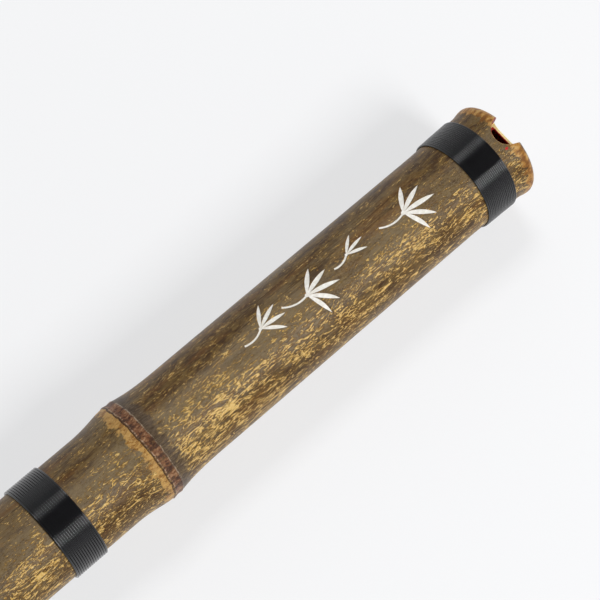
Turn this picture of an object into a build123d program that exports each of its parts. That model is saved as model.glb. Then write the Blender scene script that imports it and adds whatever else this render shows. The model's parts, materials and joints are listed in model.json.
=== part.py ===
from build123d import *

import os

# An end-blown bamboo flute that pulls apart at a metal-sleeved joint.
# It lies along X with its mouth end at +X, and its notch and front finger holes face +Z.
# The origin is under the middle of the flute, at the height of its lowest point.
# A station is a distance from the mouth rim along the bore, towards the tail.

# ---- Culm ----
LENGTH = 562.0
NODES = (141.5, 240.0, 334.0, 411.0, 469.0, 515.0, 542.0)  # stations of the sheath scars
RADII = (14.5, 14.5, 14.65, 15.0, 15.5, 16.1, 16.8, 17.5)  # of the internodes
RIDGE_HEIGHT = 1.35  # of a node, above the internode that follows it
CREST_LENGTH = 3.0  # from a node's upper ridge line to its sheath scar
LONGEST_FLARE = 22.0  # swelling on the mouth side of a node
FLARE_SHARE = 0.25  # of the internode, where that is shorter
LONGEST_FALL = 12.0  # drop on the tail side of a node
FALL_SHARE = 0.2
TAIL_RADIUS = 19.0  # widest place of the root end
TAIL_ROUNDING = 3.5

# ---- Mouth end ----
RIM_FACE_RADIUS = 12.2
LIP_RADIUS = 15.5
LIP_STATION = 2.6
NECK_RADIUS = 14.95
NECK_STATION = 6.2
FIRST_STRAIGHT = 24.0  # station where the culm's straight part starts
DISH_RADIUS = 9.8  # the end is closed by the culm's own septum, which is sanded to a shallow dish
DISH_FLOOR_RADIUS = 8.9
DISH_DEPTH = 0.4
SEPTUM_THICKNESS = 0.65
NOTCH_WIDTH = 10.1  # at the lip
NOTCH_DEPTH = 6.1
NOTCH_INNER_WIDTH = 9.5  # at its flat floor
NOTCH_INNER_DEPTH = 5.8
NOTCH_FLOOR = 8.5  # height above the bore line, which leaves a slot under the septum's edge

# ---- Bore and its lacquer ----
BORE = 9.25
LACQUER = 0.3

# ---- Finger holes ----
HOLE_RADIUS = 4.7
FRONT_HOLES = (316.0, 356.0, 394.0, 429.0, 487.0)
THUMB_HOLE = 298.0

# ---- Joint between the sections ----
JOINT = 270.5  # station of the joint plane
FACE_GAP = 0.05  # between the ferrules when the joint is closed
TENON_START = 246.0
TENON_END = 290.5
TENON_RADIUS = 11.0
TENON_CHAMFER = 0.3
SOCKET_END = 292.0
SOCKET_BORE = 11.05
SOCKET_RADIUS = 12.2
FERRULE_LENGTH = 6.0
FERRULE_SEAT = 13.6  # radius of the culm under a ferrule
FERRULE_FLANGE = 0.8
FERRULE_PROUD = 0.15  # above the culm beside it
FERRULE_ROUNDING = 0.35
SEAL_STATIONS = (276.5, 285.5)
SEAL_THICKNESS = 0.7
GROOVE_DEPTH = 0.75
GROOVE_WIDTH = 1.0

# ---- Thread bindings: station of the mouth side, turns and thread thickness ----
BINDINGS = (
    (8.6, 18, 0.645),
    (164.9, 15, 0.767),
    (252.3, 15, 0.767),
    (277.1, 15, 0.767),
    (367.0, 15, 0.767),
    (438.5, 15, 0.767),
    (492.6, 12, 0.767),
    (520.9, 14, 0.767),
)

# ---- Engraved sprays: station and side of the fork, heading in degrees, scale and leaves ----
SPRAYS = (
    (42.0, -1.0, 172.0, 1.05, 5),
    (62.8, -2.4, 190.0, 0.70, 3),
    (79.3, -0.8, 166.0, 1.00, 5),
    (95.6, -2.0, 188.0, 0.85, 4),
)
LEAF_LENGTH = 10.5
LEAF_BULGE = (0.85, 0.5)  # of a leaf's two edges, away from the line between its ends
LEAF_FAN = 29.0  # degrees between neighbouring leaves
OUTER_LEAF_LOSS = 0.1  # of the length, for each leaf away from the middle of the fan
TWIG_LENGTH = 8.0
TWIG_SAG = 1.0
TWIG_WIDTH = 0.55
FORK_RADIUS = 0.6
ENGRAVING_DEPTH = 0.4
PAINT_RECESS = 0.08

# ---- Places ----
SEPTUM_BACK = DISH_DEPTH + SEPTUM_THICKNESS  # station of the septum's tail side
MOUTH_X = LENGTH / 2
BORE_HEIGHT = TAIL_RADIUS
BORE_CENTRE = (MOUTH_X, 0, BORE_HEIGHT)
BORE_LINE = Axis(BORE_CENTRE, (-1, 0, 0))
# On both planes local x is the station, and local y is sideways. Sections are drawn on FRONT,
# where local y is also the radius, so that the seam of a turned face is at the flute's side.
FRONT = Plane(origin=BORE_CENTRE, x_dir=(-1, 0, 0), z_dir=(0, 0, 1))
BACK = Plane(origin=BORE_CENTRE, x_dir=(-1, 0, 0), z_dir=(0, 0, -1))
OUTSIDE = 1.5 * TAIL_RADIUS  # a height beyond every surface of the flute

# ---- Shape of the culm: internode k lies between starts[k] and ends[k] ----
starts = (0.0, *NODES)
ends = (*NODES, LENGTH)


def straight_start(k):
    """Station where the straight part of internode k starts."""
    if k == 0:
        return FIRST_STRAIGHT
    return starts[k] + min(LONGEST_FALL, FALL_SHARE * (ends[k] - starts[k]))


def node_scale(k):
    """Size of node k, which is 1 between long internodes."""
    return (straight_start(k + 1) - NODES[k]) / LONGEST_FALL


def straight_end(k):
    """Station where the straight part of internode k ends."""
    flare = min(LONGEST_FLARE, FLARE_SHARE * (ends[k] - starts[k]))
    return ends[k] - CREST_LENGTH * node_scale(k) - flare


def surface(station):
    """Point of the culm's outline at a station that isn't on a node or the lip."""
    if station < FIRST_STRAIGHT:
        share = (station - NECK_STATION) / (FIRST_STRAIGHT - NECK_STATION)
        return (station, NECK_RADIUS + share * (RADII[0] - NECK_RADIUS))
    k = sum(node < station for node in NODES)
    return (station, RADII[k])


def draw_lip():
    """Outline of the mouth end, from the middle of the septum round the lip to the first straight."""
    lip = (LIP_STATION, LIP_RADIUS)
    neck = surface(NECK_STATION)
    dish_edge = (DISH_DEPTH, DISH_FLOOR_RADIUS)
    Polyline((DISH_DEPTH, 0), dish_edge, (0, DISH_RADIUS), (0, RIM_FACE_RADIUS))
    Spline((0, RIM_FACE_RADIUS), lip, tangents=((0, 1), (1, 0)))
    Spline(lip, neck, tangents=((1, 0), (1, 0)))
    Line(neck, surface(FIRST_STRAIGHT))


def draw_internode(k, start, end):
    """Outline of internode k from one station to another."""
    Line(surface(start), surface(end))


def draw_node(k):
    """Outline of node k: the flare, the crest, the step at the sheath scar and the fall."""
    scale = node_scale(k)
    station = NODES[k]
    foot = surface(straight_start(k + 1))
    ridge = foot[1] + RIDGE_HEIGHT * (0.6 + 0.4 * scale)
    flare_start = surface(straight_end(k))
    upper_line = (station - CREST_LENGTH * scale, ridge - 0.18)
    crest = (station - CREST_LENGTH * scale / 2, ridge)
    scar = (station, ridge)
    under_scar = (station + 0.3 * scale, ridge - 0.1)
    shoulder = (station + 4.4 * scale, ridge - 0.65 * scale)
    Spline(flare_start, upper_line, tangents=((1, 0), (1, 0.2)))
    ThreePointArc(upper_line, crest, scar)
    Line(scar, under_scar)
    Spline(under_scar, shoulder, foot, tangents=((1, -0.03), (1, 0)))


def draw_ring(start, end, inner, outer, mode=Mode.ADD):
    """Section of a plain ring between two stations and two radii."""
    with Locations((start, inner)):
        Rectangle(end - start, outer - inner, align=(Align.MIN, Align.MIN), mode=mode)


def draw_ferrule(side, inner):
    """Section of a joint cap, whose flange covers the culm's end. side is -1 towards the mouth."""
    face = JOINT + side * FACE_GAP / 2
    flange = face + side * FERRULE_FLANGE
    far = JOINT + side * FERRULE_LENGTH
    outer = surface(JOINT)[1] + FERRULE_PROUD
    Polyline(
        (face, inner),
        (face, outer),
        (far, outer),
        (far, FERRULE_SEAT),
        (flange, FERRULE_SEAT),
        (flange, inner),
        close=True,
    )


def save(piece, name):
    piece.part.label = name
    export_step(piece.part, f"parts/{name}.step")


os.makedirs("parts", exist_ok=True)

# ---- Cutters ----

with BuildPart() as notch:
    wall = LIP_RADIUS - NOTCH_FLOOR
    for overrun in (0, 2):  # at the floor, and above the lip
        height = NOTCH_FLOOR + overrun * wall
        depth = NOTCH_INNER_DEPTH + overrun * (NOTCH_DEPTH - NOTCH_INNER_DEPTH)
        width = NOTCH_INNER_WIDTH + overrun * (NOTCH_WIDTH - NOTCH_INNER_WIDTH)
        with BuildSketch(FRONT.offset(height)):
            Ellipse(depth, width / 2)
    loft(ruled=True)

with BuildPart() as finger_holes:
    with BuildSketch(FRONT.offset(BORE / 2)):
        with Locations(*[(station, 0) for station in FRONT_HOLES]):
            Circle(HOLE_RADIUS)
    extrude(amount=OUTSIDE)
    with BuildSketch(BACK.offset(BORE / 2)):
        with Locations((THUMB_HOLE, 0)):
            Circle(HOLE_RADIUS)
    extrude(amount=OUTSIDE)

# Bamboo leaves that fan out from a fork, with a twig behind it.
with BuildPart() as sprays:
    with BuildSketch(FRONT.offset(BORE)):
        for station, side, heading, scale, leaves in SPRAYS:
            fork = Vector(station, side)
            twig_end = fork + Vector(-TWIG_LENGTH * scale, 0).rotate(Axis.Z, heading)
            with BuildLine() as twig:
                SagittaArc(fork, twig_end, TWIG_SAG * scale)
            trace(twig.line, line_width=TWIG_WIDTH)
            with Locations(fork):
                Circle(FORK_RADIUS * scale)
            for leaf in range(leaves):
                off_middle = leaf - (leaves - 1) / 2
                length = LEAF_LENGTH * scale * (1 - OUTER_LEAF_LOSS * abs(off_middle))
                direction = heading + LEAF_FAN * off_middle
                tip = fork + Vector(length, 0).rotate(Axis.Z, direction)
                with BuildLine():
                    SagittaArc(fork, tip, LEAF_BULGE[0] * scale)
                    SagittaArc(tip, fork, LEAF_BULGE[1] * scale)
                make_face()
    extrude(amount=OUTSIDE)

# The paint fills each engraved groove to just below the culm's surface.
with BuildPart() as engraving_paint:
    engraved = (surface(FIRST_STRAIGHT), surface(straight_end(0)))
    with BuildSketch(FRONT):
        with BuildLine():
            bottom = [(station, radius - ENGRAVING_DEPTH) for station, radius in engraved]
            top = [(station, radius - PAINT_RECESS) for station, radius in reversed(engraved)]
            Polyline(*bottom, *top, close=True)
        make_face()
    revolve(axis=BORE_LINE)
    add(sprays.part, mode=Mode.INTERSECT)
save(engraving_paint, "engraving_paint")

with BuildPart() as grooves:
    with BuildSketch(FRONT):
        with BuildLine():
            top = [(station, radius + 1) for station, radius in reversed(engraved)]
            Polyline(*bottom, *top, close=True)
        make_face()
    revolve(axis=BORE_LINE)
    add(sprays.part, mode=Mode.INTERSECT)

# ---- Bamboo ----

with BuildPart() as upper_tube:
    joint_end = JOINT - FERRULE_FLANGE - FACE_GAP / 2
    seat = JOINT - FERRULE_LENGTH
    with BuildSketch(FRONT):
        with BuildLine():
            draw_lip()
            draw_internode(0, FIRST_STRAIGHT, straight_end(0))
            draw_node(0)
            draw_internode(1, straight_start(1), straight_end(1))
            draw_node(1)
            draw_internode(2, straight_start(2), seat)
            Polyline(
                surface(seat),
                (seat, FERRULE_SEAT),
                (joint_end, FERRULE_SEAT),
                (joint_end, TENON_RADIUS),
                (TENON_START, TENON_RADIUS),
                (TENON_START, BORE + LACQUER),
                (SEPTUM_BACK, BORE + LACQUER),
                (SEPTUM_BACK, 0),
                (DISH_DEPTH, 0),
            )
        make_face()
    revolve(axis=BORE_LINE)
    add(notch.part, mode=Mode.SUBTRACT)
    add(grooves.part, mode=Mode.SUBTRACT)
save(upper_tube, "upper_tube")

with BuildPart() as lower_tube:
    joint_end = JOINT + FERRULE_FLANGE + FACE_GAP / 2
    seat = JOINT + FERRULE_LENGTH
    last = len(NODES)
    widest = (LENGTH - TAIL_ROUNDING, TAIL_RADIUS)
    tail_face = (LENGTH, TAIL_RADIUS - TAIL_ROUNDING)
    with BuildSketch(FRONT):
        with BuildLine():
            Polyline(
                (LENGTH, BORE + LACQUER),
                (SOCKET_END, BORE + LACQUER),
                (SOCKET_END, SOCKET_RADIUS),
                (joint_end, SOCKET_RADIUS),
                (joint_end, FERRULE_SEAT),
                (seat, FERRULE_SEAT),
                surface(seat),
            )
            draw_internode(2, seat, straight_end(2))
            for k in range(2, last):
                draw_node(k)
                if k + 1 < last:
                    draw_internode(k + 1, straight_start(k + 1), straight_end(k + 1))
            Spline(surface(straight_start(last)), widest, tangents=((1, 0), (1, 0)))
            RadiusArc(widest, tail_face, TAIL_ROUNDING)
            Line(tail_face, (LENGTH, BORE + LACQUER))
        make_face()
    revolve(axis=BORE_LINE)
    add(finger_holes.part, mode=Mode.SUBTRACT)
save(lower_tube, "lower_tube")

# ---- Lacquer in the bore ----

with BuildPart() as upper_bore_lacquer:
    with BuildSketch(FRONT):
        draw_ring(SEPTUM_BACK, TENON_START, BORE, BORE + LACQUER)
        draw_ring(SEPTUM_BACK, SEPTUM_BACK + LACQUER, 0, BORE)
    revolve(axis=BORE_LINE)
    add(notch.part, mode=Mode.SUBTRACT)
save(upper_bore_lacquer, "upper_bore_lacquer")

with BuildPart() as lower_bore_lacquer:
    with BuildSketch(FRONT):
        draw_ring(SOCKET_END, LENGTH, BORE, BORE + LACQUER)
    revolve(axis=BORE_LINE)
    add(finger_holes.part, mode=Mode.SUBTRACT)
save(lower_bore_lacquer, "lower_bore_lacquer")

# ---- Joint ----

# A tube fixed in the upper section, with a groove for each seal.
with BuildPart() as tenon_sleeve:
    with BuildSketch(FRONT):
        draw_ring(TENON_START, TENON_END, BORE, TENON_RADIUS)
        for station in SEAL_STATIONS:
            draw_ring(
                station - GROOVE_WIDTH / 2,
                station + GROOVE_WIDTH / 2,
                TENON_RADIUS - GROOVE_DEPTH,
                TENON_RADIUS + GROOVE_DEPTH,
                mode=Mode.SUBTRACT,
            )
    revolve(axis=BORE_LINE)
    end_edges = tenon_sleeve.edges().filter_by(GeomType.CIRCLE).group_by(Axis.X)[0]
    chamfer(end_edges.sort_by(SortBy.RADIUS)[-1], TENON_CHAMFER)
save(tenon_sleeve, "tenon_sleeve")

with BuildPart() as socket_sleeve:
    with BuildSketch(FRONT):
        socket_start = JOINT + FERRULE_FLANGE + FACE_GAP / 2
        draw_ring(socket_start, SOCKET_END, SOCKET_BORE, SOCKET_RADIUS)
    revolve(axis=BORE_LINE)
save(socket_sleeve, "socket_sleeve")

for number, station in enumerate(SEAL_STATIONS, 1):
    middle = (TENON_RADIUS - GROOVE_DEPTH + SOCKET_BORE) / 2
    with BuildPart() as seal:
        with BuildSketch(FRONT):
            with Locations((station, middle)):
                Circle(SEAL_THICKNESS / 2)
        revolve(axis=BORE_LINE)
    save(seal, f"tenon_seal_{number}")

for side, inner, name in ((-1, TENON_RADIUS, "upper_ferrule"), (1, SOCKET_BORE, "lower_ferrule")):
    with BuildPart() as ferrule:
        with BuildSketch(FRONT):
            with BuildLine():
                draw_ferrule(side, inner)
            make_face()
        revolve(axis=BORE_LINE)
        outer_edges = ferrule.edges().filter_by(GeomType.CIRCLE).group_by(SortBy.RADIUS)[-1]
        fillet(outer_edges, FERRULE_ROUNDING)
    save(ferrule, name)

# ---- Thread bindings: turns laid side by side, each a rounded rib ----

for number, (start, turns, thread) in enumerate(BINDINGS, 1):
    with BuildPart() as binding:
        with BuildSketch(FRONT):
            with BuildLine():
                for turn in range(turns):
                    edges = [surface(start + (turn + half / 2) * thread) for half in range(3)]
                    rise = (thread / 2, thread, thread / 2)
                    ThreePointArc(*[(x, radius + up) for (x, radius), up in zip(edges, rise)])
                first = surface(start)
                last = surface(start + turns * thread)
                Polyline(
                    (first[0], first[1] + thread / 2),
                    first,
                    last,
                    (last[0], last[1] + thread / 2),
                )
            make_face()
        revolve(axis=BORE_LINE)
    save(binding, f"binding_{number}")
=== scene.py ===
import json
import math

import bmesh
import bpy
import numpy as np
from mathutils import Matrix, Vector


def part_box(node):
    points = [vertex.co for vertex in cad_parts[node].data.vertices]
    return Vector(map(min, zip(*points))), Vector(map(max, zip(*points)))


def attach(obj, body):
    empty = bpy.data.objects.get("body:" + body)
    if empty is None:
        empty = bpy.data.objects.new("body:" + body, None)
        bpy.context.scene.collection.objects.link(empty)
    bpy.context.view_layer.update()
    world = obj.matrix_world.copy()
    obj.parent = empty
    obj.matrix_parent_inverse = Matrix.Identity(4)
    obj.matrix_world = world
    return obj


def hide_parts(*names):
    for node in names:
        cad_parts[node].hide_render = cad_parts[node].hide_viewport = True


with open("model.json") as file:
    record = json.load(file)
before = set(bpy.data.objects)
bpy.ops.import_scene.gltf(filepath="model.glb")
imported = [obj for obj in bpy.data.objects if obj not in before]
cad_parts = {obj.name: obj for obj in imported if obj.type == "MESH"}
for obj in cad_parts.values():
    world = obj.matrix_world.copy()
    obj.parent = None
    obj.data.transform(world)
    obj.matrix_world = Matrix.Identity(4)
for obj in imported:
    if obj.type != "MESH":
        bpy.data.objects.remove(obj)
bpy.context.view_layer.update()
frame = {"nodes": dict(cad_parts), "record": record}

# The looks of an end-blown bamboo flute, built around its CAD frame.
# Shapes are worked out in millimetres and written to meshes in metres. A station is a distance
# from the mouth rim along the bore, towards the tail. An angle is measured about the bore from
# +Z, the front of the flute, towards +Y.

MM = 0.001

# ---- Places, read from the frame ----
MOUTH_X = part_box("upper_tube")[1].x / MM
TAIL_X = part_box("lower_tube")[0].x / MM
LENGTH = MOUTH_X - TAIL_X
TAIL_RADIUS = (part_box("lower_tube")[1].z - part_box("lower_tube")[0].z) / 2 / MM
BORE_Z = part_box("lower_tube")[0].z / MM + TAIL_RADIUS
UPPER_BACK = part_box("upper_bore_lacquer")[1].y / MM  # radius of the bamboo's inside
LOWER_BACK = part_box("lower_bore_lacquer")[1].y / MM

# ---- Culm, as in the CAD model ----
NODES = (141.5, 240.0, 334.0, 411.0, 469.0, 515.0, 542.0)
RADII = (14.5, 14.5, 14.65, 15.0, 15.5, 16.1, 16.8, 17.5)
RIDGE_HEIGHT = 1.35
CREST_LENGTH = 3.0
LONGEST_FLARE = 22.0
FLARE_SHARE = 0.25
LONGEST_FALL = 12.0
FALL_SHARE = 0.2
TAIL_ROUNDING = 3.5
RIM_FACE_RADIUS = 12.2
LIP_RADIUS = 15.5
LIP_STATION = 2.6
NECK_RADIUS = 14.95
NECK_STATION = 6.2
FIRST_STRAIGHT = 24.0
DISH_RADIUS = 9.8
DISH_FLOOR_RADIUS = 8.9
DISH_DEPTH = 0.4
SEPTUM_BACK = 1.05
NOTCH_WIDTH = 10.0
NOTCH_DEPTH = 6.0
NOTCH_FLOOR = 8.5
HOLE_RADIUS = 4.7
FERRULE_SEAT = 13.6
FRONT_HOLES = (316.0, 356.0, 394.0, 429.0, 487.0)
THUMB_HOLE = 298.0

STARTS = (0.0, *NODES)
ENDS = (*NODES, LENGTH)


def straight_start(k):
    if k == 0:
        return FIRST_STRAIGHT
    return STARTS[k] + min(LONGEST_FALL, FALL_SHARE * (ENDS[k] - STARTS[k]))


def node_scale(k):
    """Size of node k, which is 1 between long internodes."""
    return (straight_start(k + 1) - NODES[k]) / LONGEST_FALL


def straight_end(k):
    flare = min(LONGEST_FLARE, FLARE_SHARE * (ENDS[k] - STARTS[k]))
    return ENDS[k] - CREST_LENGTH * node_scale(k) - flare


def hermite(x, x0, y0, slope0, x1, y1, slope1):
    """Cubic curve through two points with a slope at each."""
    t = np.clip((x - x0) / (x1 - x0), 0, 1)
    span = x1 - x0
    rise = (2 * t**3 - 3 * t**2 + 1) * y0 + (3 * t**2 - 2 * t**3) * y1
    return rise + span * ((t**3 - 2 * t**2 + t) * slope0 + (t**3 - t**2) * slope1)


def culm_radius(station):
    """Radius of the culm at stations from the lip's widest place to where the tail is rounded."""
    s = np.asarray(station, float)
    lip = hermite(s, LIP_STATION, LIP_RADIUS, 0, NECK_STATION, NECK_RADIUS, 0)
    slope = (RADII[0] - NECK_RADIUS) / (FIRST_STRAIGHT - NECK_STATION)
    neck = NECK_RADIUS + slope * (s - NECK_STATION)
    r = np.where(s < NECK_STATION, lip, neck)
    for k in range(len(NODES) + 1):
        inside = s >= straight_start(k)
        r = np.where(inside, RADII[k], r)
        if k == len(NODES):
            widest = LENGTH - TAIL_ROUNDING
            root = hermite(s, straight_start(k), RADII[k], 0, widest, TAIL_RADIUS, 0)
            return np.where(inside, root, r)
        scale = node_scale(k)
        foot = straight_start(k + 1)
        foot_r = RADII[k + 1]
        ridge = foot_r + RIDGE_HEIGHT * (0.6 + 0.4 * scale)
        upper = NODES[k] - CREST_LENGTH * scale
        flare = hermite(s, straight_end(k), RADII[k], 0, upper, ridge - 0.18, 0.2)
        r = np.where(s >= straight_end(k), flare, r)
        # The crest has a fine ridge at its mouth side, a shallow trough and the scar's lip.
        across = np.clip((s - upper) / (NODES[k] - upper), 0, 1)
        crest = ridge - 0.18 * (1 - across) ** 2 + 0.1 * np.exp(-((across / 0.12) ** 2))
        crest -= 0.16 * np.exp(-(((across - 0.5) / 0.22) ** 2))
        crest += 0.06 * np.exp(-(((across - 0.96) / 0.1) ** 2))
        r = np.where(s >= upper, crest, r)
        under = NODES[k] + 0.3 * scale
        shoulder = (NODES[k] + 4.4 * scale, ridge - 0.65 * scale)
        step = hermite(s, NODES[k], ridge, -0.2, under, ridge - 0.16, -0.05)
        r = np.where(s >= NODES[k], step, r)
        fall = hermite(s, under, ridge - 0.16, -0.03, *shoulder, -0.17)
        r = np.where(s >= under, fall, r)
        foot_curve = hermite(s, *shoulder, -0.17, foot, foot_r, 0)
        r = np.where(s >= shoulder[0], foot_curve, r)
    return r


def node_distance(station):
    """Millimetres from the nearest sheath scar, towards the tail, as if its node were a large one."""
    s = np.asarray(station, float)
    best = np.full_like(s, 1000.0)
    for k, node in enumerate(NODES):
        away = (s - node) / max(node_scale(k), 0.45)
        best = np.where(np.abs(away) < np.abs(best), away, best)
    return best


def waves(station, angle, seed, count, longest, turns):
    """Smooth unevenness from -1 to 1 that closes on itself around the culm."""
    rng = np.random.default_rng(seed)
    total = np.zeros(np.broadcast(station, angle).shape)
    for _ in range(count):
        around = rng.integers(0, turns + 1)
        along = rng.uniform(-2 * math.pi, 2 * math.pi) / longest
        total += np.sin(around * angle + along * station + rng.uniform(0, 2 * math.pi))
    return total / count


# ---- Meshes ----

LONGEST_JUMP = 20.0  # of the layer's second number, within one face
BETWEEN_NODES = 40.0  # that number, where the nearest scar changes
NO_SCAR = 400.0  # that number, on the lip, the cut faces and the bore
HIDDEN_STATION = 300.0
SHARP_ANGLE = 50  # degrees, of the edges that stay sharp in a smooth tube
CUT_SHARP_ANGLE = 38


def place(station, angle, radius):
    """Points in millimetres, in the frame, from stations, angles and radii."""
    station, angle, radius = np.broadcast_arrays(station, angle, radius)
    y = radius * np.sin(angle)
    z = BORE_Z + radius * np.cos(angle)
    return np.stack([MOUTH_X - station, y, z], axis=-1)


def make_piece(name, points, faces, materials, layer, face_material=None, sharp_angle=None, caps=()):
    """Mesh object from points in millimetres. layer holds two numbers for each point."""
    mesh = bpy.data.meshes.new(name)
    mesh.from_pydata((points * MM).tolist(), [], faces.tolist() + list(caps))
    for material in materials:
        mesh.materials.append(material)
    if face_material is not None:
        mesh.polygons.foreach_set("material_index", face_material.astype(np.int32))
    corners = np.zeros(len(mesh.loops), np.int32)
    mesh.loops.foreach_get("vertex_index", corners)
    numbers = layer[corners].astype(np.float32)
    # Where the nearest node changes, a face would run through a scar's own numbers.
    of_face = numbers[: 4 * len(faces)].reshape(-1, 4, 2)
    of_face[np.ptp(of_face[..., 1], axis=1) > LONGEST_JUMP, :, 1] = BETWEEN_NODES
    mesh.uv_layers.new(name="culm").data.foreach_set("uv", numbers.ravel())
    mesh.validate()
    mesh.shade_smooth()
    if sharp_angle is not None:
        mesh.set_sharp_from_angle(angle=math.radians(sharp_angle))
    piece = bpy.data.objects.new(name, mesh)
    bpy.context.scene.collection.objects.link(piece)
    return piece


def grid_faces(rows, columns):
    """Quads of a grid that closes on itself both ways, facing out when its rows run from the mouth
    over the outside to the tail and back through the bore."""
    i, j = np.meshgrid(np.arange(rows), np.arange(columns), indexing="ij")
    i2, j2 = (i + 1) % rows, (j + 1) % columns
    quads = np.stack([i * columns + j, i * columns + j2, i2 * columns + j2, i2 * columns + j], axis=-1)
    return quads.reshape(-1, 4)


def boolean_cut(piece, cutter):
    modifier = piece.modifiers.new("cut", "BOOLEAN")
    modifier.operation = "DIFFERENCE"
    modifier.solver = "EXACT"
    modifier.material_mode = "TRANSFER"
    modifier.object = cutter
    depsgraph = bpy.context.evaluated_depsgraph_get()
    cut = bpy.data.meshes.new_from_object(piece.evaluated_get(depsgraph))
    piece.modifiers.clear()
    piece.data = cut
    cutter_mesh = cutter.data
    bpy.data.objects.remove(cutter)
    bpy.data.meshes.remove(cutter_mesh)
    cut.set_sharp_from_angle(angle=math.radians(CUT_SHARP_ANGLE))


# ---- Material graphs ----


class Graph:
    """Builds one material's nodes. Lengths in its coordinates are millimetres."""

    def __init__(self, name):
        self.material = bpy.data.materials.new(name)
        self.material.use_nodes = True
        self.tree = self.material.node_tree
        self.tree.nodes.clear()
        self.shader = self.tree.nodes.new("ShaderNodeBsdfPrincipled")
        out = self.tree.nodes.new("ShaderNodeOutputMaterial")
        self.tree.links.new(self.shader.outputs["BSDF"], out.inputs["Surface"])
        coordinates = self.tree.nodes.new("ShaderNodeTexCoord").outputs["Object"]
        self.place = self.vector("MULTIPLY", coordinates, (1 / MM,) * 3)

    def put(self, socket, value):
        if isinstance(value, bpy.types.NodeSocket):
            self.tree.links.new(value, socket)
        elif isinstance(value, tuple) and len(value) == 3 and socket.type == "RGBA":
            socket.default_value = (*value, 1.0)
        else:
            socket.default_value = value

    def set(self, **values):
        """Sets the shader's inputs, such as base_color or coat_weight."""
        names = {name.lower().replace(" ", "_"): name for name in self.shader.inputs.keys()}
        for key, value in values.items():
            self.put(self.shader.inputs[names[key]], value)

    def math(self, operation, a, b=0.0):
        node = self.tree.nodes.new("ShaderNodeMath")
        node.operation = operation
        self.put(node.inputs[0], a)
        self.put(node.inputs[1], b)
        return node.outputs[0]

    def add(self, *values):
        total = values[0]
        for value in values[1:]:
            total = self.math("ADD", total, value)
        return total

    def times(self, *values):
        total = values[0]
        for value in values[1:]:
            total = self.math("MULTIPLY", total, value)
        return total

    def minus(self, a, b):
        return self.math("SUBTRACT", a, b)

    def vector(self, operation, a, b):
        node = self.tree.nodes.new("ShaderNodeVectorMath")
        node.operation = operation
        self.put(node.inputs[0], a)
        self.put(node.inputs[1], b)
        return node.outputs["Value"] if operation == "DOT_PRODUCT" else node.outputs[0]

    def stretched(self, along, across, shift=0.0):
        """Coordinates whose noise has that many cells in a millimetre along and across the flute."""
        scaled = self.vector("MULTIPLY", self.place, (along, across, across))
        return self.vector("ADD", scaled, (shift, shift, shift))

    def noise(self, where, detail=2.0, roughness=0.5, distortion=0.0):
        node = self.tree.nodes.new("ShaderNodeTexNoise")
        node.inputs["Scale"].default_value = 1.0
        node.inputs["Detail"].default_value = detail
        node.inputs["Roughness"].default_value = roughness
        node.inputs["Distortion"].default_value = distortion
        self.put(node.inputs["Vector"], where)
        return node.outputs["Fac"]

    def cells(self, where):
        node = self.tree.nodes.new("ShaderNodeTexVoronoi")
        node.inputs["Scale"].default_value = 1.0
        self.put(node.inputs["Vector"], where)
        return node.outputs["Distance"]

    def above(self, value, low, high):
        """0 below low, 1 above high and a smooth step between. High may be the smaller one."""
        node = self.tree.nodes.new("ShaderNodeMapRange")
        node.interpolation_type = "SMOOTHSTEP"
        self.put(node.inputs["Value"], value)
        self.put(node.inputs["From Min"], low)
        self.put(node.inputs["From Max"], high)
        return node.outputs["Result"]

    def between(self, value, low, high, edge):
        """1 from low to high, with soft edges that wide."""
        up = self.above(value, self.minus(low, edge), self.add(low, edge))
        down = self.above(value, self.minus(high, edge), self.add(high, edge))
        return self.times(up, self.minus(1.0, down))

    def mix(self, share, a, b):
        node = self.tree.nodes.new("ShaderNodeMix")
        node.data_type = "RGBA"
        self.put(node.inputs["Factor"], share)
        self.put(node.inputs["A"], a)
        self.put(node.inputs["B"], b)
        return node.outputs["Result"]

    def culm(self):
        """(station, distance from the nearest scar) from the piece's own layer."""
        node = self.tree.nodes.new("ShaderNodeUVMap")
        node.uv_map = "culm"
        split = self.tree.nodes.new("ShaderNodeSeparateXYZ")
        self.put(split.inputs[0], node.outputs["UV"])
        return split.outputs[0], split.outputs[1]

    def bump(self, *layers):
        """Normal from (height, depth in millimetres) layers."""
        normal = None
        for height, depth in layers:
            node = self.tree.nodes.new("ShaderNodeBump")
            node.inputs["Strength"].default_value = 1.0
            node.inputs["Distance"].default_value = depth * MM
            self.put(node.inputs["Height"], height)
            if normal is not None:
                self.put(node.inputs["Normal"], normal)
            normal = node.outputs["Normal"]
        self.set(normal=normal)


# ---- Bamboo material ----

UMBER = (0.046, 0.018, 0.001)
OLIVE = (0.140, 0.080, 0.018)
GREY_BROWN = (0.185, 0.130, 0.064)
# Pale grey of the sheen painted along the culm's front, in place of the lamps' highlight
PAINTED_SHEEN = (0.30, 0.240, 0.150)
RUSSET = (0.165, 0.068, 0.010)
HALO = (0.24, 0.11, 0.012)
GOLD = (0.60, 0.365, 0.080)
PALE_GOLD = (0.82, 0.60, 0.25)
RING_DARK = (0.038, 0.021, 0.011)
RING_LIGHT = (0.105, 0.072, 0.044)
CREST_DARK = (0.045, 0.014, 0.006)
CREST_RED = (0.185, 0.070, 0.028)
CREST_PALE = (0.36, 0.21, 0.105)
NODE_LINE = (0.46, 0.35, 0.24)
OCHRE_DARK = (0.24, 0.095, 0.012)
OCHRE = (0.50, 0.28, 0.075)
TAN_DARK = (0.19, 0.070, 0.009)
TAN = (0.42, 0.20, 0.038)
TAN_PALE = (0.58, 0.36, 0.12)
LACQUER_RED = (0.50, 0.020, 0.016)
BURNT = (0.020, 0.009, 0.004)

DRIP = (5.4, -4.1)  # station and side
DRIP_RADIUS = 0.5


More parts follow.
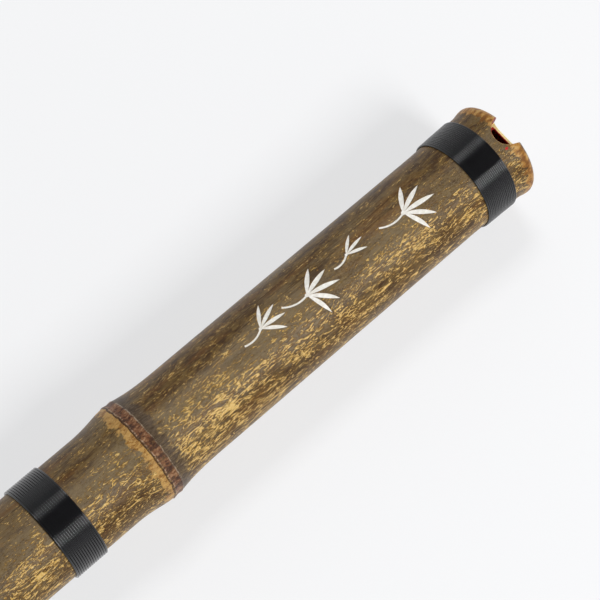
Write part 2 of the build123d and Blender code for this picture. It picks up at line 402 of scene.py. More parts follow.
def skin_ground(g, patches, blotches, fibres):
    """Olive and brown skin between the flecks, streaked along its fibres."""
    ground = g.mix(g.above(blotches, 0.36, 0.60), UMBER, OLIVE)
    ground = g.mix(g.times(g.above(patches, 0.44, 0.62), 0.7), ground, GREY_BROWN)
    warm = g.noise(g.stretched(0.05, 0.25, 23), detail=2)
    ground = g.mix(g.times(g.above(warm, 0.52, 0.68), 0.6), ground, RUSSET)
    dark_streak = g.above(fibres, 0.50, 0.32)
    ground = g.mix(g.times(dark_streak, 0.6), ground, UMBER)
    light_streak = g.above(fibres, 0.54, 0.70)
    ground = g.mix(g.times(light_streak, 0.35), ground, GREY_BROWN)
    seams = g.noise(g.stretched(0.022, 1.5, 71), detail=2)
    ground = g.mix(g.times(g.above(seams, 0.38, 0.31), 0.7), ground, UMBER)
    flecked = g.noise(g.stretched(0.8, 2.2, 77), detail=3, roughness=0.7)
    ground = g.mix(g.times(g.above(flecked, 0.48, 0.34), 0.55), ground, UMBER)
    return g.mix(g.times(g.above(flecked, 0.54, 0.68), 0.45), ground, GREY_BROWN)


def gold_flecks(g, skin, front, scar, patches, blotches, fibres, grain):
    """Thin, broken flecks drawn out along the culm, and the share of gold. There are more of them on
    one side of the culm, in patches, and above each node."""
    above_node = g.between(scar, -40.0, -2.0, 5.0)
    crowd = g.add(
        g.times(g.above(front, 0.15, 0.65), 0.085),
        g.times(g.minus(patches, 0.5), 0.16),
        g.times(g.minus(blotches, 0.5), 0.16),
        g.times(above_node, 0.030),
        -0.040,
    )
    large = g.noise(g.stretched(0.27, 1.0, 19), detail=4, roughness=0.60, distortion=1.1)
    small = g.noise(g.stretched(0.75, 2.2, 31), detail=3, roughness=0.6, distortion=0.8)
    vein = g.noise(g.stretched(0.115, 0.45, 37), detail=3, roughness=0.55, distortion=1.4)
    streak = g.times(g.minus(fibres, 0.5), 0.10)
    level = g.add(large, crowd, streak)
    small_level = g.add(small, g.times(crowd, 0.8), streak)
    off_vein = g.math("ABSOLUTE", g.minus(vein, 0.5))
    vein_crowd = g.add(0.66, g.times(crowd, 0.7), g.times(g.minus(small, 0.5), 0.45))
    vein_level = g.minus(vein_crowd, g.times(off_vein, 3.6))
    level = g.math("MAXIMUM", level, vein_level)
    shade = g.math("MAXIMUM", g.above(level, 0.52, 0.60), g.above(small_level, 0.60, 0.68))
    halo = g.math("MAXIMUM", g.above(level, 0.590, 0.635), g.above(small_level, 0.655, 0.70))
    fleck = g.math("MAXIMUM", g.above(level, 0.628, 0.685), g.above(small_level, 0.69, 0.76))
    skin = g.mix(g.times(shade, g.above(front, 0.0, 0.7), 0.72), skin, UMBER)
    skin = g.mix(g.times(halo, 0.7), skin, HALO)
    gold = g.mix(g.above(grain, 0.38, 0.66), GOLD, PALE_GOLD)
    return g.mix(g.times(fleck, 0.92), skin, gold), fleck


def node_colours(g, skin, scar, ragged, speckle, fibres, grain):
    """A dark ring above the scar, a reddish crest between two pale lines and an ochre ring below."""
    lobes = g.noise(g.stretched(0.42, 0.40, 83), detail=3, roughness=0.6)
    stray = g.times(g.minus(lobes, 0.5), 1.3)
    scar_edge = g.add(scar, stray)
    shift = g.add(g.times(g.minus(ragged, 0.5), 5.0), g.times(g.minus(lobes, 0.5), 7.0))
    dark_ring = g.times(g.above(g.add(scar, shift), -8.2, -5.2), g.above(scar_edge, -2.4, -3.1))
    ring = g.mix(g.above(fibres, 0.35, 0.65), RING_DARK, RING_LIGHT)
    skin = g.mix(g.times(dark_ring, 0.9), skin, ring)
    crest = g.between(scar_edge, -3.0, -0.05, 0.25)
    mottle = g.add(g.times(speckle, 0.55), g.times(g.noise(g.stretched(0.30, 0.55, 97), detail=3), 0.45))
    red = g.mix(g.above(mottle, 0.45, 0.54), CREST_DARK, CREST_RED)
    red = g.mix(g.times(g.above(mottle, 0.54, 0.62), 0.8), red, CREST_PALE)
    skin = g.mix(g.times(crest, 0.92), skin, red)
    ochre_edge = g.add(2.8, g.times(g.minus(lobes, 0.5), 9.0), g.times(g.minus(speckle, 0.5), 2.0))
    ochre = g.times(g.above(scar_edge, 0.10, 0.45), g.above(g.minus(scar, ochre_edge), 0.5, -0.5))
    tone = g.mix(g.above(mottle, 0.42, 0.56), OCHRE_DARK, OCHRE)
    tone = g.mix(g.times(g.above(grain, 0.5, 0.7), 0.4), tone, PALE_GOLD)
    skin = g.mix(g.times(ochre, 0.9), skin, tone)
    upper_line = g.between(scar_edge, -3.30, -3.05, 0.10)
    lower_line = g.between(scar_edge, -0.42, -0.18, 0.1)
    lines = g.times(g.math("MAXIMUM", upper_line, lower_line), g.above(mottle, 0.44, 0.56))
    skin = g.mix(g.times(lines, 0.65), skin, NODE_LINE)
    groove = g.between(scar_edge, 0.0, 0.34, 0.1)
    return g.mix(g.times(groove, 0.85), skin, CREST_DARK)


def sanded_lip(g, skin, station, front, ragged, fibres, grain):
    """The lip, sanded through the skin and darkened by handling at one side's edge."""
    lip_edge = g.add(4.3, g.times(g.minus(ragged, 0.5), 6.0), g.times(g.minus(grain, 0.5), 1.2))
    sanded = g.above(g.minus(station, lip_edge), 0.35, -0.35)
    tone = g.noise(g.stretched(0.45, 0.6, 61), detail=3)
    tan = g.mix(g.above(tone, 0.36, 0.54), TAN_DARK, TAN)
    tan = g.mix(g.times(g.above(tone, 0.50, 0.64), 0.8), tan, TAN_PALE)
    tan = g.mix(g.times(g.above(fibres, 0.5, 0.68), 0.4), tan, TAN_DARK)
    skin = g.mix(g.times(sanded, 0.95), skin, tan)
    burnt = g.times(g.above(station, 1.5, 0.5), g.above(front, 0.22, 0.5))
    return g.mix(g.times(burnt, 0.85), skin, BURNT)


def lacquer_drip(g, skin):
    """One spot of the bore's lacquer beside the notch."""
    from_drip = g.vector("SUBTRACT", g.place, (MOUTH_X - DRIP[0], DRIP[1], BORE_Z + NECK_RADIUS))
    squashed = g.vector("MULTIPLY", from_drip, (1.0, 1.4, 0.2))
    near = g.math("POWER", g.vector("DOT_PRODUCT", squashed, squashed), 0.5)
    return g.mix(g.above(near, DRIP_RADIUS + 0.12, DRIP_RADIUS - 0.08), skin, LACQUER_RED)


def bamboo_skin():
    g = Graph("bamboo_skin")
    station, scar = g.culm()
    centred = g.vector("SUBTRACT", g.place, (0, 0, BORE_Z))
    front = g.vector("DOT_PRODUCT", centred, (0, -0.9 / 15, 0.2 / 15))
    # Sizes of unevenness: patches, blotches, the fibres that run along the culm, and grain.
    patches = g.noise(g.stretched(0.035, 0.11), detail=2)
    blotches = g.noise(g.stretched(0.22, 0.6, 7), detail=3, distortion=0.5)
    fibres = g.noise(g.stretched(0.12, 3.6, 3), detail=2, roughness=0.6)
    grain = g.noise(g.stretched(1.6, 6.0, 11), detail=2, roughness=0.6)
    ragged = g.noise(g.stretched(0.25, 0.8, 43), detail=3, roughness=0.6)
    speckle = g.noise(g.stretched(0.8, 1.5, 53), detail=4, roughness=0.7)

    skin = skin_ground(g, patches, blotches, fibres)
    # Painted sheen: a pale grey film on the side of the culm that faces up towards the camera and lamps,
    # standing in for the lamps' soft highlight.
    sheen_facing = g.vector("DOT_PRODUCT", centred, (0, -0.2 / 15, 0.98 / 15))
    skin = g.mix(g.times(g.above(sheen_facing, 0.82, 0.98), g.above(grain, 0.2, 0.8), 0.55), skin, PAINTED_SHEEN)
    skin, fleck = gold_flecks(g, skin, front, scar, patches, blotches, fibres, grain)
    skin = node_colours(g, skin, scar, ragged, speckle, fibres, grain)
    skin = sanded_lip(g, skin, station, front, ragged, fibres, grain)
    skin = lacquer_drip(g, skin)

    g.set(base_color=skin, specular_ior_level=0.18, sheen_weight=0.20, sheen_roughness=0.4)
    g.set(roughness=g.add(0.34, g.times(blotches, 0.12), g.times(grain, 0.08)))
    node_relief = g.times(speckle, g.between(scar, -3.2, 3.5, 0.8))
    g.bump((fibres, 0.05), (grain, 0.018), (fleck, -0.012), (node_relief, 0.16))
    return g.material


def bamboo_cut():
    """Bamboo where a tool has cut it: pale, with the dark dots of its fibre bundles."""
    g = Graph("bamboo_cut")
    dots = g.cells(g.stretched(0.4, 2.6))
    tone = g.noise(g.stretched(0.3, 0.9, 5), detail=3)
    pale = g.mix(tone, (0.55, 0.33, 0.13), (0.72, 0.52, 0.28))
    g.set(base_color=g.mix(g.times(g.above(dots, 0.32, 0.12), 0.65), pale, (0.20, 0.09, 0.03)))
    g.set(roughness=g.add(0.5, g.times(tone, 0.2)), specular_ior_level=0.4)
    g.bump((dots, 0.04), (g.noise(g.stretched(1.2, 6.0), detail=2), 0.03))
    return g.material


def notch_wall():
    """The notch's cut faces: pale on the septum, red where lacquer ran over them, tan at the edge."""
    g = Graph("notch_wall")
    centred = g.vector("SUBTRACT", g.place, (0, 0, BORE_Z))
    split = g.tree.nodes.new("ShaderNodeSeparateXYZ")
    g.put(split.inputs[0], centred)
    side, height = split.outputs[1], split.outputs[2]
    radius = g.math("POWER", g.add(g.times(side, side), g.times(height, height)), 0.5)
    rough = g.noise(g.stretched(1.3, 1.3, 3), detail=3)
    fine = g.noise(g.stretched(5.0, 5.0, 8), detail=2)
    red = g.mix(g.above(rough, 0.3, 0.7), (0.13, 0.012, 0.008), (0.34, 0.045, 0.022))
    tan = g.mix(g.above(fine, 0.3, 0.7), (0.42, 0.20, 0.055), (0.66, 0.42, 0.18))
    pale = g.mix(g.above(fine, 0.3, 0.7), (0.80, 0.62, 0.22), (0.93, 0.78, 0.40))
    bare = g.minus(radius, g.times(g.above(side, 0.5, 2.5), 1.3))
    edge = g.above(g.add(bare, g.times(g.minus(rough, 0.5), 1.2)), 13.9, 14.5)
    tone = g.mix(edge, red, tan)
    tone = g.mix(g.above(height, NOTCH_FLOOR + 0.25, NOTCH_FLOOR + 0.05), tone, pale)
    g.set(base_color=tone, roughness=g.add(0.38, g.times(fine, 0.3)), specular_ior_level=0.45)
    g.bump((rough, 0.05), (fine, 0.02))
    return g.material


# ---- Other materials ----


def thread_material():
    """Black thread, with painted highlight on its crests and painted shade between its turns. Its layer
    holds the height on its round section and the phase of its strands.
    """
    g = Graph("black_thread")
    height, phase = g.culm()
    dust = g.noise(g.stretched(0.5, 0.5, 9), detail=3)
    # Painted highlight and shade: the base colour rises along each turn's crest, varied by dust, and falls
    # to near black in the grooves between turns.
    crest = g.times(g.above(height, 0.55, 0.95), g.add(0.35, dust))
    tone = g.mix(crest, (0.0006, 0.0006, 0.0008), (0.0070, 0.0070, 0.0080))
    g.set(base_color=tone, roughness=g.add(0.10, g.times(dust, 0.08)), specular_ior_level=0.6)
    g.bump((g.math("SINE", phase), STRAND_DEPTH))
    return g.material


def lacquer_material():
    g = Graph("red_lacquer")
    runs = g.noise(g.stretched(0.06, 0.5), detail=3)
    pool = g.noise(g.stretched(0.3, 0.3, 4), detail=2)
    tone = g.mix(g.above(runs, 0.3, 0.7), (0.16, 0.006, 0.005), (0.42, 0.018, 0.012))
    g.set(base_color=tone, roughness=g.add(0.16, g.times(pool, 0.14)), coat_weight=0.4, coat_roughness=0.08)
    g.bump((runs, 0.12), (pool, 0.06))
    return g.material


def paint_material():
    g = Graph("engraving_paint")
    cloud = g.noise(g.stretched(0.9, 0.9), detail=3)
    chalk = g.noise(g.stretched(6.0, 6.0, 3), detail=2)
    tone = g.mix(g.above(cloud, 0.38, 0.68), (0.80, 0.77, 0.70), (0.93, 0.91, 0.86))
    g.set(base_color=g.mix(g.times(g.above(chalk, 0.62, 0.75), 0.35), tone, (0.55, 0.48, 0.38)))
    g.set(roughness=g.add(0.55, g.times(chalk, 0.2)), specular_ior_level=0.35)
    g.bump((chalk, 0.025), (cloud, 0.05))
    return g.material


def brass_material():
    g = Graph("turned_brass")
    turned = g.noise(g.stretched(9.0, 0.05), detail=2, roughness=0.6)
    tarnish = g.noise(g.stretched(0.35, 0.25, 8), detail=4, roughness=0.6)
    tone = g.mix(g.above(tarnish, 0.45, 0.72), (0.80, 0.56, 0.23), (0.50, 0.31, 0.11))
    wear = g.add(0.16, g.times(tarnish, 0.16), g.times(turned, 0.10))
    g.set(base_color=tone, metallic=1.0, roughness=wear)
    g.bump((turned, 0.012), (tarnish, 0.006))
    return g.material


def rubber_material():
    g = Graph("seal_rubber")
    dust = g.noise(g.stretched(3.0, 3.0), detail=3)
    tone = g.mix(g.above(dust, 0.4, 0.7), (0.016, 0.016, 0.017), (0.034, 0.033, 0.032))
    g.set(base_color=tone, roughness=g.add(0.45, g.times(dust, 0.25)), specular_ior_level=0.45)
    g.bump((dust, 0.02))
    return g.material


# ---- Bamboo tubes ----

SCAR_WANDER = 0.99  # how far a scar strays from its plane, at most
COLUMNS = 176
LIP_ROWS_END = 12.0
LIP_ROW = 0.35


def wander(station, angle):
    """How far the culm's nodes stray along it at that angle."""
    return SCAR_WANDER * waves(station / 40, angle, 5, 9, 9.0, 7)


def grown_radius(station, angle):
    """The culm's radius with the unevenness that a grown thing has."""
    near = np.exp(-((node_distance(station) / 9) ** 2))
    r = culm_radius(np.maximum(station + wander(station, angle) * near, LIP_STATION))
    slow = waves(station, angle, 11, 8, 120.0, 3)
    knots = waves(station, angle, 23, 14, 14.0, 9)
    return r + 0.05 * slow + (0.012 + 0.16 * near) * knots


def culm_layer(station, angle):
    """The two numbers that the bamboo material reads at each point."""
    near = np.exp(-((node_distance(station) / 9) ** 2))
    moved = station + wander(station, angle) * near
    return np.stack([station, node_distance(moved)], axis=-1)


def rows_to(start, end):
    """Stations from start to end: close together at the nodes and far apart between them."""
    stations = [start]
    while stations[-1] < end:
        away = abs(float(node_distance(stations[-1] + 0.4)))
        stations.append(stations[-1] + (0.26 if away < 7 else 0.55 if away < 14 else 1.0))
    return np.array([*stations[:-1], end])


def even_angles():
    return (np.arange(COLUMNS) + 0.5) / COLUMNS * 2 * math.pi


def tube_part(profile, angle, layer):
    """Rows of points from (station, radius) pairs, and their layer."""
    points = np.stack([place(s, angle, r) for s, r in profile])
    numbers = np.zeros((*points.shape[:2], 2))
    numbers[...] = layer
    return points, numbers


def lip_radius(station):
    """Radius of the lip at stations from the rim's face to its widest place."""
    across = np.clip(1 - np.asarray(station) / LIP_STATION, 0, 1)
    return RIM_FACE_RADIUS + (LIP_RADIUS - RIM_FACE_RADIUS) * np.sqrt(1 - across**2)


def upper_tube(skin, cut):
    angle = even_angles()
    seat = MOUTH_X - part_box("upper_ferrule")[1].x / MM
    end = MOUTH_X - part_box("upper_tube")[0].x / MM
    tenon_start = MOUTH_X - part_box("tenon_sleeve")[1].x / MM
    tenon_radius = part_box("tenon_sleeve")[1].y / MM

    septum = [(DISH_DEPTH, r) for r in (0.6, 2.5, 4.5, 6.5, 8.2, DISH_FLOOR_RADIUS)]
    septum += [(DISH_DEPTH / 2, (DISH_FLOOR_RADIUS + DISH_RADIUS) / 2), (0, DISH_RADIUS)]
    top, top_layer = tube_part(septum, angle, (0, NO_SCAR))
    rim = [(0, r) for r in (10.2, 10.9, 11.6)]
    face, face_layer = tube_part(rim, angle, (0, NO_SCAR))
    turn = np.linspace(0, math.pi / 2, 12)[:-1]
    rounded = LIP_STATION * (1 - np.cos(turn))
    lip = np.stack([rounded, lip_radius(rounded)], axis=-1)
    rounding = np.stack([place(s, angle, r) for s, r in lip])
    lip_stations = np.broadcast_to(lip[:, :1], rounding.shape[:2])
    lip_layer = np.stack([lip_stations, np.full(lip_stations.shape, NO_SCAR)], axis=-1)

    stations = np.concatenate([np.arange(LIP_STATION, LIP_ROWS_END, LIP_ROW), rows_to(LIP_ROWS_END, seat)])
    stations = stations[:, None]
    radius = grown_radius(stations, angle[None, :])
    settled = np.clip((stations - LIP_STATION) / 2, 0, 1)
    radius = culm_radius(stations) + (radius - culm_radius(stations)) * settled
    station = np.broadcast_to(stations, radius.shape)
    outer = place(station, angle[None, :], radius)
    outer_layer = culm_layer(station, np.broadcast_to(angle[None, :], station.shape))

    hidden = [(seat, FERRULE_SEAT), (end, FERRULE_SEAT), (end, tenon_radius), (tenon_start, tenon_radius)]
    bore = [(s, UPPER_BACK) for s in np.linspace(tenon_start, LIP_ROWS_END, 8)]
    bore += [(s, UPPER_BACK) for s in (9, 7, 5, 3, SEPTUM_BACK)]
    under = [(SEPTUM_BACK, r) for r in (8.0, 6.0, 4.0, 2.0, 0.6)]
    inside, inside_layer = tube_part(hidden + bore + under, angle, (HIDDEN_STATION, NO_SCAR))

    points = np.concatenate([top, face, rounding, outer, inside])
    layer = np.concatenate([top_layer, face_layer, lip_layer, outer_layer, inside_layer])
    rows = len(points)
    quads = grid_faces(rows, COLUMNS)[: (rows - 1) * COLUMNS]
    row_of_face = np.repeat(np.arange(rows - 1), COLUMNS)
    is_cut = (row_of_face < len(top) - 1) | (row_of_face >= rows - len(inside) - 1)
    caps = [list(range(COLUMNS - 1, -1, -1)), list(range((rows - 1) * COLUMNS, rows * COLUMNS))]
    return make_piece(
        "upper_bamboo",
        points.reshape(-1, 3),
        quads,
        (skin, cut),
        face_material=np.concatenate([is_cut, [1, 1]]),
        layer=layer.reshape(-1, 2),
        sharp_angle=SHARP_ANGLE,
        caps=caps,
    )


def outer_radius(station, angle):
    """Radius of the upper tube's outside, on the lip too."""
    return np.where(station < LIP_STATION, lip_radius(station), grown_radius(station, angle))


def plug(eased, outline, bottom, top):
    """Points and faces of a cutter from the height bottom to the height top. outline(growth) gives
    stations, sides and heights of the surface that it cuts, where its edge is eased."""
    first, last = eased[0], eased[-1]
    rings = [(*outline(first[0])[:2], bottom)]
    for growth, rise in eased:
        along, across, surface = outline(growth)
        rings.append((along, across, surface + rise))
    rings.append((*outline(last[0])[:2], top))
    points = [np.stack([MOUTH_X - s, y, BORE_Z + z + 0 * s], axis=-1) for s, y, z in rings]
    count = len(points[0])
    faces = []
    for level in range(len(rings) - 1):
        for k in range(count):
            a, b = level * count + k, level * count + (k + 1) % count
            faces.append((a, b, b + count, a + count))
    faces.append(tuple(range(count - 1, -1, -1)))
    faces.append(tuple(range((len(rings) - 1) * count, len(rings) * count)))
    return np.concatenate(points), faces


def make_cutter(name, parts, material):
    points, faces = [], []
    for part_points, part_faces in parts:
        base = sum(len(p) for p in points)
        points.append(part_points)
        faces += [tuple(base + corner for corner in face) for face in part_faces]
    mesh = bpy.data.meshes.new(name)
    mesh.from_pydata((np.concatenate(points) * MM).tolist(), [], faces)
    mesh.materials.append(material)
    shape = bmesh.new()
    shape.from_mesh(mesh)
    bmesh.ops.recalc_face_normals(shape, faces=shape.faces)
    shape.to_mesh(mesh)
    shape.free()
    cutter = bpy.data.objects.new(name, mesh)
    bpy.context.scene.collection.objects.link(cutter)
    return cutter


NOTCH_EDGE = ((0.0, -0.22), (0.06, -0.08), (0.2, 0.03), (0.5, 0.25))
HOLE_EDGE = ((0.0, -0.42), (0.08, -0.2), (0.22, -0.06), (0.45, 0.03), (0.8, 0.25))
NOTCH_TOP = 18.0  # of its cutter, above the bore line
HOLE_FLOOR = 6.0
HOLE_TOP = 20.0
PAINT_RAISE = 0.8  # of the paint's outer face, to clear the culm
PAINT_INSET = 0.24  # below the culm, where the outer face's points begin
WELD = 0.002


def notch_cutter(wall):
    """Plug for the blowing notch, with its edge eased a little."""
    turn = np.linspace(0, 2 * math.pi, 112, endpoint=False)

    def outline(growth):
        along = (NOTCH_DEPTH + growth) * np.cos(turn)
        across = (NOTCH_WIDTH / 2 + growth) * np.sin(turn)
        radius = outer_radius(np.maximum(along, 0.5), np.arcsin(across / LIP_RADIUS))
        return along, across, np.sqrt(radius**2 - across**2)

    return make_cutter("notch_cutter", [plug(NOTCH_EDGE, outline, NOTCH_FLOOR, NOTCH_TOP)], wall)


def hole_cutter(cut):
    """Plugs for the finger holes, each flared a little where it meets the culm's surface."""
    turn = np.linspace(0, 2 * math.pi, 72, endpoint=False)
    parts = []
    for hole, facing in [(station, 1) for station in FRONT_HOLES] + [(THUMB_HOLE, -1)]:

        def outline(growth):
            along = hole + (HOLE_RADIUS + growth) * np.cos(turn)
            across = (HOLE_RADIUS + growth) * np.sin(turn)
            lean = np.arcsin(across / culm_radius(along))
            angle = lean if facing > 0 else math.pi - lean
            return along, across, np.sqrt(grown_radius(along, angle) ** 2 - across**2)

        points, faces = plug(HOLE_EDGE, outline, HOLE_FLOOR, HOLE_TOP)
        points[:, 2] = BORE_Z + facing * (points[:, 2] - BORE_Z)
        parts.append((points, faces))
    return make_cutter("hole_cutter", parts, cut)


def groove_cutter(cut):
    """The engraving's paint, raised through the culm's surface."""
    source = frame["nodes"]["engraving_paint"]
    mesh = source.data.copy()
    mesh.materials.clear()
    mesh.materials.append(cut)
    cutter = bpy.data.objects.new("groove_cutter", mesh)
    bpy.context.scene.collection.objects.link(cutter)
    shape = bmesh.new()
    shape.from_mesh(mesh)
    bmesh.ops.remove_doubles(shape, verts=shape.verts, dist=WELD * MM)
    for vertex in shape.verts:
        station = MOUTH_X - vertex.co.x / MM
        radius = math.hypot(vertex.co.y, vertex.co.z - BORE_Z * MM) / MM
        if radius > float(culm_radius(station)) - PAINT_INSET:
            vertex.co.z += PAINT_RAISE * MM
    shape.to_mesh(mesh)
    shape.free()
    return cutter


def lower_tube(skin, cut):
    angle = even_angles()
    start = MOUTH_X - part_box("lower_tube")[1].x / MM
    seat = MOUTH_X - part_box("lower_ferrule")[0].x / MM
    socket_end = MOUTH_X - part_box("socket_sleeve")[0].x / MM
    socket_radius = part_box("socket_sleeve")[1].y / MM
    widest = LENGTH - TAIL_ROUNDING
    stations = rows_to(seat, widest)[:, None]
    radius = grown_radius(stations, angle[None, :])
    station = np.broadcast_to(stations, radius.shape)
    outer = place(station, angle[None, :], radius)
    outer_layer = culm_layer(station, np.broadcast_to(angle[None, :], station.shape))

    bend = np.linspace(0, math.pi / 2, 12)[1:, None]
    round_station = widest + TAIL_ROUNDING * np.sin(bend)
    round_radius = radius[-1][None, :] - TAIL_ROUNDING * (1 - np.cos(bend))
    rounding = place(round_station, angle[None, :], round_radius)
    round_layer = culm_layer(*np.broadcast_arrays(round_station, angle[None, :]))

    face = [(LENGTH, r) for r in (13.0, LOWER_BACK + 0.4)]
    bore = [(s, LOWER_BACK) for s in np.linspace(LENGTH, socket_end, 9)]
    socket = [(socket_end, socket_radius), (start, socket_radius)]
    shoulder = [(start, FERRULE_SEAT), (seat, FERRULE_SEAT)]
    inside, inside_layer = tube_part(face + bore + socket + shoulder, angle, (HIDDEN_STATION, NO_SCAR))

    points = np.concatenate([outer, rounding, inside])
    layer = np.concatenate([outer_layer, round_layer, inside_layer])
    rows = len(points)
    row_of_face = np.repeat(np.arange(rows), COLUMNS)
    is_cut = row_of_face >= len(outer) + len(rounding) - 3
    return make_piece(
        "lower_bamboo",
        points.reshape(-1, 3),
        grid_faces(rows, COLUMNS),
        (skin, cut),
        face_material=is_cut,
        layer=layer.reshape(-1, 2),
        sharp_angle=SHARP_ANGLE,
    )


# ---- Thread bindings ----

THREAD_SIDES = 12
STEPS_PER_TURN = 120
STRANDS = 3
STRAND_LENGTH = 0.62  # from one strand to the next, along the thread
STRAND_DEPTH = 0.004


def thread_binding(number, turns, material):
    """One thread wound turn against turn over its own buried end, with both ends tucked in."""
    low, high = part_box(f"binding_{number}")
    start = MOUTH_X - high.x / MM
    length = (high.x - low.x) / MM
    rng = np.random.default_rng(100 + number)
    pitch = length / turns
    thread = pitch * 0.5 * (turns - 1) / turns * 1.03
    wound = np.linspace(0, turns, turns * STEPS_PER_TURN + 1)
    turn = math.pi + rng.uniform(-0.6, 0.6) + wound * 2 * math.pi
    station = start + pitch / 2 + (length - pitch) * wound / turns
    slack = 0.03 * waves(wound * 9, turn * 0, 200 + number, 9, 11.0, 1)
    away = (turn - BURIED_END[number - 1] + math.pi) % (2 * math.pi) - math.pi
    ridge = 0.34 * thread * np.exp(-((away / 0.055) ** 2))
    tuck = np.minimum(wound, turns - wound) / 0.07
    dive = 1.9 * thread * (1 - np.clip(tuck, 0, 1)) ** 2
    line_radius = culm_radius(station) + thread * 0.97 + ridge + slack - dive
    station = station + 0.022 * waves(wound * 7, turn * 0, 300 + number, 9, 9.0, 1)
    # Around the thread, from its hidden underside, where the strands' phase starts again.
    section = np.linspace(-math.pi / 2, 1.5 * math.pi, THREAD_SIDES, endpoint=False)[None, :]
    around_station = station[:, None] + thread * np.cos(section)
    around_radius = line_radius[:, None] + thread * np.sin(section)
    points = place(around_station, turn[:, None], around_radius)
    height = (1 + np.sin(section)) / 2 + 0 * turn[:, None]
    run = turn[:, None] * culm_radius(start)
    phase = STRANDS * section + 2 * math.pi * run / STRAND_LENGTH
    rings, sides = height.shape
    i, j = np.meshgrid(np.arange(rings - 1), np.arange(sides), indexing="ij")
    j2 = (j + 1) % sides
    quads = np.stack([i * sides + j, i * sides + j2, (i + 1) * sides + j2, (i + 1) * sides + j], axis=-1)
    return make_piece(
        f"thread_binding_{number}",
        points.reshape(-1, 3),
        quads.reshape(-1, 4),
        [material],
        layer=np.stack([height, phase], axis=-1).reshape(-1, 2),
        caps=[tuple(range(sides - 1, -1, -1)), tuple(range((rings - 1) * sides, rings * sides))],
    )


# ---- Camera, lights and floor ----

PICTURE = 600.0
FOCAL = 1991.0  # of the camera, where the picture is PICTURE wide
DISTANCE = 565.0  # from the camera to the flute
TILT = math.radians(16.6)  # of the mouth end, away from the camera
SIDE_TURN = math.radians(9.5)  # of the front, to the picture's upper left
PICTURE_ANGLE = math.radians(40.2)  # of the flute's axis, in the picture
MIDDLE_FROM_RIM = 77.5  # station in the middle of the picture
AXIS_ASIDE = 3.4  # of the picture's middle


def make_camera():
    along = Vector((1, 0, 0))
    to_camera = Vector((0, -math.sin(SIDE_TURN), math.cos(SIDE_TURN)))
    back = to_camera * math.cos(TILT) - along * math.sin(TILT)
    in_picture = (along - back * along.dot(back)).normalized()
    aside = in_picture.cross(back)
    right = in_picture * math.cos(PICTURE_ANGLE) + aside * math.sin(PICTURE_ANGLE)
    up = in_picture * math.sin(PICTURE_ANGLE) - aside * math.cos(PICTURE_ANGLE)
    aim = Vector((MOUTH_X - MIDDLE_FROM_RIM, 0, BORE_Z)) - aside * AXIS_ASIDE
    data = bpy.data.cameras.new("camera")
    data.lens = FOCAL / PICTURE * data.sensor_width
    data.clip_start, data.clip_end = 0.01, 20
    camera = bpy.data.objects.new("camera", data)
    camera.matrix_world = Matrix.Translation((aim + back * DISTANCE) * MM) @ Matrix(
        (right, up, back)
    ).transposed().to_4x4()
    bpy.context.scene.collection.objects.link(camera)
    bpy.context.scene.camera = camera


FLOOR_GLOW = 0.57
FLOOR_REACH = 6.0
OVERHEAD = 0.14  # strength of the room's light from straight above and along the flute
BESIDE = 0.7
LIT_PLACE = Vector((0.17, 0, 0.02))  # metres, as are the lights' sizes
LIGHTS_ALONG = 0.24  # how far the lights are past that place, towards the mouth
LIGHTS = (  # name, degrees from straight above towards +Y, length and width, power in watts
    ("main", -43.0, (0.34, 0.36), 6.5),
    ("second", 28.0, (0.34, 0.24), 3.2),
)


def soft_light(name, away, target, size, power):
    """Panel light that far from its target. size is its length along the flute and its width."""
    data = bpy.data.lights.new(name, "AREA")
    data.shape = "RECTANGLE"
    data.size, data.size_y = size
    data.energy = power
    back = away.normalized()
    along = Vector((1, 0, 0))
    lengthwise = (along - back * along.dot(back)).normalized()
    light = bpy.data.objects.new(name, data)
    turn = Matrix((lengthwise, back.cross(lengthwise), back)).transposed().to_4x4()
    light.matrix_world = Matrix.Translation(target + away) @ turn
    bpy.context.scene.collection.objects.link(light)


def floor_material():
    """White cloth over a light table, which thins the shadows."""
    g = Graph("pale_floor")
    folds = g.noise(g.stretched(0.004, 0.004), detail=2)
    weave = g.noise(g.stretched(1.2, 1.2, 3), detail=2)
    g.set(base_color=g.mix(folds, (0.36, 0.36, 0.365), (0.38, 0.38, 0.385)), roughness=0.9)
    g.set(specular_ior_level=0.1, emission_color=(0.995, 1.0, 1.01), emission_strength=FLOOR_GLOW)
    g.bump((weave, 0.02))
    return g.material


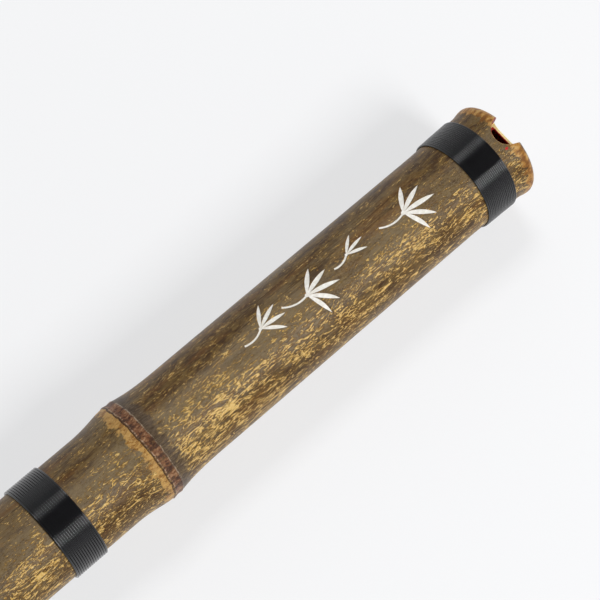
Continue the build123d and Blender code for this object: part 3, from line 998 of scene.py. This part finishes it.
def studio_world():
    """A room with pale walls on both sides of the flute. It is darker overhead and at the ends."""
    world = bpy.data.worlds.new("studio")
    world.use_nodes = True
    tree = world.node_tree
    background = tree.nodes["Background"]
    split = tree.nodes.new("ShaderNodeSeparateXYZ")
    tree.links.new(tree.nodes.new("ShaderNodeTexCoord").outputs["Generated"], split.inputs[0])
    sideways = tree.nodes.new("ShaderNodeMath")
    sideways.operation = "ABSOLUTE"
    tree.links.new(split.outputs["Y"], sideways.inputs[0])
    strength = tree.nodes.new("ShaderNodeMapRange")
    strength.interpolation_type = "SMOOTHSTEP"
    strength.inputs["From Min"].default_value = 0.35
    strength.inputs["From Max"].default_value = 0.85
    strength.inputs["To Min"].default_value = OVERHEAD
    strength.inputs["To Max"].default_value = BESIDE
    tree.links.new(sideways.outputs[0], strength.inputs["Value"])
    tree.links.new(strength.outputs["Result"], background.inputs["Strength"])
    background.inputs["Color"].default_value = (0.97, 0.985, 1.0, 1.0)
    bpy.context.scene.world = world


def make_stage():
    mesh = bpy.data.meshes.new("floor")
    corners = [(x * FLOOR_REACH, y * FLOOR_REACH, 0) for x, y in ((-1, -1), (1, -1), (1, 1), (-1, 1))]
    mesh.from_pydata(corners, [], [(0, 1, 2, 3)])
    mesh.materials.append(floor_material())
    floor = bpy.data.objects.new("floor", mesh)
    bpy.context.scene.collection.objects.link(floor)
    studio_world()
    for name, lean, size, power in LIGHTS:
        angle = math.radians(lean)
        away = Vector((LIGHTS_ALONG, math.sin(angle), math.cos(angle)))
        soft_light(name, away, LIT_PLACE, size, power)


# ---- The flute ----

BURIED_END = (-0.36, 2.3, 1.1, 4.0, 2.9, 0.4, 5.2, 1.7)  # angle of each binding's buried end
BINDING_TURNS = (18, 15, 15, 15, 15, 15, 12, 14)


def dress(node, material):
    """Gives a CAD node a finished material."""
    piece = frame["nodes"][node]
    piece.data.materials.clear()
    piece.data.materials.append(material)


def body_of_node(node):
    bodies = frame["record"]["behaviour"]["bodies"]
    return next(body for body, nodes in bodies.items() if node in nodes)


def stand_for(piece, node):
    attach(piece, body_of_node(node))
    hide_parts(node)


bpy.context.scene.view_settings.view_transform = "Standard"
make_camera()
make_stage()

skin = bamboo_skin()
cut = bamboo_cut()
thread = thread_material()
lacquer = lacquer_material()
brass = brass_material()
rubber = rubber_material()

upper = upper_tube(skin, cut)
boolean_cut(upper, groove_cutter(cut))
boolean_cut(upper, notch_cutter(notch_wall()))
stand_for(upper, "upper_tube")

lower = lower_tube(skin, cut)
boolean_cut(lower, hole_cutter(cut))
stand_for(lower, "lower_tube")

for number, turns in enumerate(BINDING_TURNS, 1):
    stand_for(thread_binding(number, turns, thread), f"binding_{number}")

for node in ("upper_bore_lacquer", "lower_bore_lacquer"):
    dress(node, lacquer)
for node in ("tenon_sleeve", "socket_sleeve", "upper_ferrule", "lower_ferrule"):
    dress(node, brass)
for node in ("tenon_seal_1", "tenon_seal_2"):
    dress(node, rubber)
dress("engraving_paint", paint_material())
